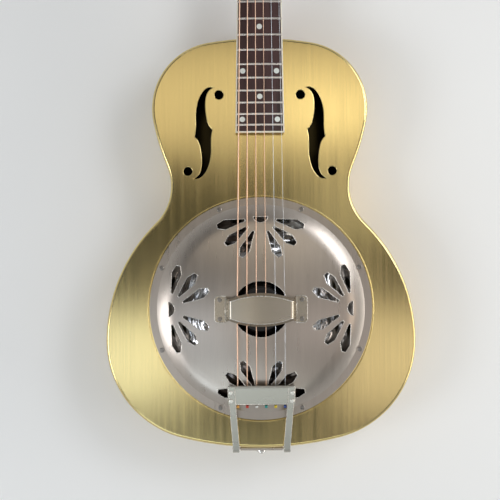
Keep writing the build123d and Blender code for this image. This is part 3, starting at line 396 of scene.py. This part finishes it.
def soften_edges():
    for name, width in SOFT_EDGES.items():
        soften(name, width * MM)


# ---- Small tools for new pieces ----

def clamp(share):
    return min(1.0, max(0.0, share))


def link(obj):
    bpy.context.scene.collection.objects.link(obj)
    return obj


def new_piece(name, mesh, body, slot, material=None):
    """A new object that rides on a body; its material is its slot's, unless another is named."""
    piece = link(bpy.data.objects.new(name, mesh))
    cover(piece, material or slot)
    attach(piece, body)
    return piece


def turns_of(count):
    """Angles that divide a full turn."""
    return [2 * math.pi * k / count for k in range(count)]


def add_ring(mesh, centre, radius, first, second, sides):
    """A ring of vertices round centre, in the plane of two unit directions."""
    return [
        mesh.verts.new(centre + radius * (math.cos(turn) * first + math.sin(turn) * second))
        for turn in turns_of(sides)
    ]


def add_band(mesh, low, high):
    """The faces between two rings of vertices."""
    sides = len(low)
    for k in range(sides):
        mesh.faces.new((low[k], low[(k + 1) % sides], high[(k + 1) % sides], high[k]))


def add_tube(mesh, path, radius, sides):
    """A round tube along a list of points, with both ends closed."""
    rings = []
    normal = None
    for i, point in enumerate(path):
        ahead = path[min(i + 1, len(path) - 1)] - path[max(i - 1, 0)]
        ahead.normalize()
        if normal is None:
            normal = ahead.orthogonal()
        normal = (normal - ahead * normal.dot(ahead)).normalized()
        rings.append(add_ring(mesh, point, radius, normal, ahead.cross(normal), sides))
    for low, high in zip(rings, rings[1:]):
        add_band(mesh, low, high)
    mesh.faces.new(list(reversed(rings[0])))
    mesh.faces.new(rings[-1])


def add_hoop(mesh, loop, radius, sides):
    """A round bead along a closed and about level loop of points."""
    rings = []
    for i, point in enumerate(loop):
        ahead = loop[(i + 1) % len(loop)] - loop[i - 1]
        side = Vector((ahead.y, -ahead.x, 0)).normalized()
        rings.append(add_ring(mesh, point, radius, side, Vector((0, 0, 1)), sides))
    for i, low in enumerate(rings):
        add_band(mesh, low, rings[(i + 1) % len(rings)])


def smooth_data(name, mesh):
    """Turn a bmesh into mesh data, smooth but for the end caps."""
    bmesh.ops.recalc_face_normals(mesh, faces=mesh.faces)
    data = bpy.data.meshes.new(name)
    mesh.to_mesh(data)
    mesh.free()
    for face in data.polygons:
        face.use_smooth = len(face.vertices) == 4
    return data


def sharp_edges(name, reach):
    """Where a CAD node's upward faces end sharply within reach of the Z axis.

    Returns the places of all its points, and for each point on such an edge the indices of its neighbours.
    """
    mesh = bmesh.new()
    mesh.from_mesh(NODES[name].data)
    bmesh.ops.remove_doubles(mesh, verts=mesh.verts, dist=WELD)
    mesh.verts.index_update()
    beside = {}
    for edge in mesh.edges:
        if len(edge.link_faces) != 2 or edge.calc_face_angle(0.0) < math.radians(50):
            continue
        faces_up = max(face.normal.z for face in edge.link_faces) >= 0.7
        first, second = edge.verts
        if faces_up and max(first.co.xy.length, second.co.xy.length) < reach:
            beside.setdefault(first.index, []).append(second.index)
            beside.setdefault(second.index, []).append(first.index)
    places = [vertex.co.copy() for vertex in mesh.verts]
    mesh.free()
    return places, beside


def chains(beside):
    """Split a net of edges into chains of indices that end where edges meet."""
    used, found = set(), []
    for start in sorted(beside, key=lambda index: (len(beside[index]) == 2, index)):
        for step in beside[start]:
            chain, here, ahead = [start], start, step
            while ahead is not None and frozenset((here, ahead)) not in used:
                used.add(frozenset((here, ahead)))
                chain.append(ahead)
                onward = [index for index in beside[ahead] if frozenset((ahead, index)) not in used]
                passing = onward and len(beside[ahead]) == 2
                here, ahead = ahead, onward[0] if passing else None
            if len(chain) > 1:
                found.append(chain)
    return found


BEAD_SIDES = 8
EDGE_BEADS = {           # reach from the Z axis in metres, and the bead's radius in millimetres
    "cover_plate": (0.118, 0.4), "hand_rest": (0.06, 0.4), "tailpiece_frame": (0.2, 0.3),
}


def make_edge_beads():
    """The rounded edges of the petals, the hand rest and the tailpiece, as thin beads; their bright polished
    nickel is partly a painted highlight.
    """
    for node, (reach, radius) in EDGE_BEADS.items():
        name = f"{node}_edges"
        mesh = bmesh.new()
        places, beside = sharp_edges(node, reach)
        for chain in chains(beside):
            points = [places[index] for index in chain]
            if chain[0] == chain[-1] and len(chain) > 3:
                add_hoop(mesh, points[:-1], radius * MM, BEAD_SIDES)
            else:
                add_tube(mesh, points, radius * MM, BEAD_SIDES)
        # the beads are real rounded edges; their brighter polished nickel, unlike the plate's satin nickel, is a
        # painted highlight
        new_piece(name, smooth_data(name, mesh), BODY_OF[node], "nickel_satin", "nickel_edge")


def make_recess_lip():
    """The bright pressed lip of the top round the cover plate."""
    radius, height = 133.0 * MM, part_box("body_top")[1].z - 0.2 * MM
    loop = [Vector((radius * math.cos(turn), radius * math.sin(turn), height)) for turn in turns_of(240)]
    mesh = bmesh.new()
    add_hoop(mesh, loop, 0.55 * MM, 12)
    new_piece("recess_lip", smooth_data("recess_lip", mesh), BODY_OF["body_top"], "brass_satin")


# ---- Windings round the posts ----

POST_HOLE = 12.6 * MM     # height of the string's hole above the post's joint
POST_WAIST = 2.65 * MM    # radius of the post where the winding ends
WAIST_FROM = 10.6 * MM    # height where the post starts to narrow
WAIST_OVER = 0.9 * MM     # height over which it does so
STEPS_PER_TURN = 28


def string_end(number, at_post):
    """Points of the cap that ends a string's CAD mesh, at its post or at its ball end, and their middle."""
    points = [vertex.co for vertex in NODES[f"string_{number}"].data.vertices]
    edge = max(point.y for point in points) if at_post else min(point.y for point in points)
    cap = [point for point in points if abs(point.y - edge) < 1.2 * MM]
    return cap, sum(cap, Vector()) / len(cap)


def winding(number, diameter, turns):
    """The string's turns round its post, from where the CAD string touches it up to the post's hole."""
    joint = JOINTS[f"tuner_{number}_wind"]
    base, axis = Vector(joint["pos_m"]), Vector(joint["axis"]).normalized()
    start = string_end(number, at_post=True)[1]
    rise = (start - base).dot(axis)
    out = start - base - axis * rise
    reach = out.length
    out.normalize()
    across = axis.cross(out)
    way = 1 if across.y > 0 else -1
    waist = POST_WAIST + diameter / 2
    steps = int(turns * STEPS_PER_TURN)
    path = []
    for i in range(steps + 1):
        share = i / steps
        angle = way * 2 * math.pi * turns * share
        height = rise + (POST_HOLE - rise) * share ** 1.15
        radius = reach + (waist - reach) * clamp((height - WAIST_FROM) / WAIST_OVER)
        path.append(base + axis * height + radius * (math.cos(angle) * out + math.sin(angle) * across))
    hole = base + axis * POST_HOLE
    inward = (hole - path[-1]).normalized()
    path += [path[-1] + inward * 0.8 * MM, hole, hole + inward * 5.2 * MM]
    mesh = bmesh.new()
    add_tube(mesh, path, diameter / 2, 12)
    name = f"winding_{number}"
    new_piece(name, smooth_data(name, mesh), BODY_OF[f"tuner_post_{number}"], SLOT_OF[f"string_{number}"])


def make_windings():
    for number in range(1, 7):
        cap, middle = string_end(number, at_post=False)
        diameter = 2 * max(abs((point - middle).x) for point in cap)
        turns = min(5.25, 3.6 * MM / diameter) // 1 + 0.25
        winding(number, diameter, max(1.25, turns))


# ---- The spun cone ----

CONE_UPPER = [            # (radius, depth under the crown) in millimetres
    (1.7, 0.0), (26.9, 0.0), (29.4, 2.5), (70.0, 15.5), (105.0, 29.5), (113.0, 33.9), (114.0, 38.9),
]
CONE_SHEET = 0.6 * MM     # thickness of the CAD cone
CONE_STEP = 1.1           # width of the rings between those points, in millimetres
CONE_SIDES = 300


def cone_profile():
    """Upper skin of the cone from its crown outwards, as (radius, height) in metres."""
    low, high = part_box("cone")
    fine = []
    for (r0, d0), (r1, d1) in zip(CONE_UPPER, CONE_UPPER[1:]):
        count = max(1, int((r1 - r0) / CONE_STEP))
        for i in range(count):
            share = i / count
            fine.append(((r0 + (r1 - r0) * share) * MM, high.z - (d0 + (d1 - d0) * share) * MM))
    ledge = low.z + CONE_SHEET
    return fine + [(CONE_UPPER[-1][0] * MM, ledge), (high.x, ledge)]


def creases(turn, radius):
    """Height of the foil's folds in millimetres: three sets of sharp ridges that cross each other."""
    spiral = 1.2 * (abs(math.sin(6 * turn + radius / 9)) - 0.6)
    counter = 0.9 * (abs(math.sin(8 * turn - radius / 6 + 1.3 * math.sin(3 * turn))) - 0.6)
    across = 0.9 * (abs(math.sin(radius / 3.2 + 2 * math.sin(5 * turn))) - 0.6)
    return spiral + counter + across


def make_cone():
    """Spun cone with the slight dents and creases of thin foil."""
    mesh = bmesh.new()
    rows = []
    for radius, height in cone_profile():
        on_wall = clamp((radius - 0.031) / 0.01) * clamp((0.112 - radius) / 0.006)
        row = []
        for turn in turns_of(CONE_SIDES):
            lift = (creases(turn, radius / MM) - 0.7) * on_wall * MM
            row.append(mesh.verts.new((radius * math.cos(turn), radius * math.sin(turn), height + lift)))
        rows.append(row)
    for low, high in zip(rows, rows[1:]):
        for k, (inner, outer) in enumerate(zip(low, high)):
            onward = (k + 1) % len(low)
            mesh.faces.new((inner, outer, high[onward], low[onward]))
    data = bpy.data.meshes.new("cone_spun")
    mesh.to_mesh(data)
    mesh.free()
    data.polygons.foreach_set("use_smooth", [True] * len(data.polygons))
    piece = new_piece("cone_spun", data, BODY_OF["cone"], "spun_aluminium")
    skin = piece.modifiers.new("skin", "SOLIDIFY")
    skin.thickness = 0.4 * MM
    skin.offset = -1
    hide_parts("cone")


# ---- Studio ----

def make_camera():
    data = bpy.data.cameras.new("photo_view")
    data.lens = 73.4
    data.sensor_width = 36.0
    data.clip_start, data.clip_end = 0.01, 50.0
    camera = link(bpy.data.objects.new("photo_view", data))
    camera.location = (-0.0124, 0.069, 1.283)
    camera.rotation_euler = (0, 0, math.radians(-0.33))
    bpy.context.scene.camera = camera


def softbox(name, place, aim, size, brightness, colour):
    """A rectangular light that looks as bright as brightness, wherever it is seen from."""
    data = bpy.data.lights.new(name, "AREA")
    data.shape = "RECTANGLE"
    data.size, data.size_y = size
    data.energy = 4 * brightness * size[0] * size[1]
    data.color = colour
    lamp = link(bpy.data.objects.new(name, data))
    lamp.location = place
    lamp.rotation_euler = (Vector(aim) - Vector(place)).to_track_quat("-Z", "Y").to_euler()
    lamp.visible_camera = False


def overhead(name, x_span, y_span, brightness, colour):
    """A softbox that faces straight down from above the camera, given by the stretch that it covers."""
    x, y = sum(x_span) / 2, sum(y_span) / 2
    size = (x_span[1] - x_span[0], y_span[1] - y_span[0])
    softbox(name, (x, y, OVERHEAD), (x, y, 0), size, brightness, colour)


def make_lights():
    """What the brass and the plate mirror: (name, x from and to, y from and to, brightness, colour) overhead."""
    overhead("back_overhead", (-0.55, 0.6), (0.34, 0.66), 0.74, (1.0, 0.92, 0.78))
    softbox("lamp", (0.2, 0.45, 1.7), (0.2, 0.45, 0), (0.22, 0.12), 0.84, (1.0, 0.92, 0.72))
    overhead("far_lamp", (0.2, 0.42), (0.5, 0.58), 0.6, (1.0, 0.93, 0.78))
    overhead("right_overhead", (0.16, 0.5), (0.1, 0.3), 0.4, (1.0, 0.98, 0.9))
    overhead("front_left_overhead", (-0.75, -0.2), (-0.37, -0.11), 1.15, (0.9, 1.0, 1.12))
    overhead("front_right_overhead", (0.22, 0.75), (-0.4, -0.1), 0.75, (1.0, 0.95, 0.95))
    overhead("plate_left", (-0.22, -0.03), (-0.25, -0.05), 1.5, (1.0, 0.9, 0.76))
    overhead("plate_right", (0.06, 0.28), (-0.14, 0.04), 0.6, (1.0, 0.93, 0.88))
    overhead("plate_front_left", (-0.65, 0.0), (-0.86, -0.56), 1.2, (0.88, 1.0, 1.08))
    overhead("plate_front_right", (0.02, 0.45), (-0.78, -0.56), 0.6, (1.0, 0.96, 0.93))
    overhead("far_front", (-0.35, 0.5), (-1.3, -0.82), 0.85, (0.92, 1.0, 0.97))
    overhead("far_front_left", (-1.15, -0.38), (-1.5, -0.95), 1.5, (0.85, 1.0, 1.12))
    overhead("far_right", (0.95, 1.5), (-0.5, 0.12), 1.3, (1.0, 0.84, 0.7))
    softbox("left_window", (-1.35, -0.34, 1.4), (0, 0, 0.08), (0.72, 0.7), 3.6, (0.97, 1.0, 1.05))
    softbox("edge_strip", (1.7, 0.1, 0.6), (0, 0.1, 0.08), (2.0, 0.4), 3.6, (1.0, 0.98, 0.94))
    softbox("right_window", (1.05, 0.75, 1.45), (0, 0, 0.08), (0.8, 0.6), 3.4, (0.97, 1.0, 1.05))


def make_world():
    """Soft light from around, which fades towards straight up."""
    world = bpy.data.worlds.new("studio_air")
    bpy.context.scene.world = world
    world.use_nodes = True
    tree = world.node_tree
    tree.nodes.clear()
    output = tree.nodes.new("ShaderNodeOutputWorld")
    background = tree.nodes.new("ShaderNodeBackground")
    ramp = tree.nodes.new("ShaderNodeValToRGB")
    split = tree.nodes.new("ShaderNodeSeparateXYZ")
    where = tree.nodes.new("ShaderNodeTexCoord")
    brightness_at = [(0.05, 0.5), (0.45, 0.58), (0.78, 0.24), (0.93, 0.045)]
    fill_ramp(ramp, [(height, (grey, grey * 1.03, grey * 1.04)) for height, grey in brightness_at])
    tree.links.new(where.outputs["Generated"], split.inputs[0])
    tree.links.new(split.outputs["Z"], ramp.inputs[0])
    tree.links.new(ramp.outputs[0], background.inputs[0])
    tree.links.new(background.outputs[0], output.inputs[0])


def make_floor():
    mesh = bmesh.new()
    half = 40.0
    corners = [mesh.verts.new((x * half, y * half, -0.0002)) for x, y in ((-1, -1), (1, -1), (1, 1), (-1, 1))]
    mesh.faces.new(corners)
    data = bpy.data.meshes.new("floor")
    mesh.to_mesh(data)
    mesh.free()
    floor = link(bpy.data.objects.new("floor", data))
    paint = Paint("floor_paper")
    cloud = paint.noise(paint.place(), scale=3.0, detail=3.0)
    paint.into("Base Color", paint.ramp(cloud, [(0.3, (0.91, 0.905, 0.895)), (0.7, (0.94, 0.935, 0.925))]))
    paint.into("Roughness", 0.9)
    data.materials.append(paint.material)


def make_studio():
    make_world()
    make_lights()
    make_floor()
    bpy.context.scene.view_settings.view_transform = "Standard"


make_camera()
make_studio()
paint_cad_nodes()
soften_edges()
make_windings()
make_cone()
make_edge_beads()
make_recess_lip()
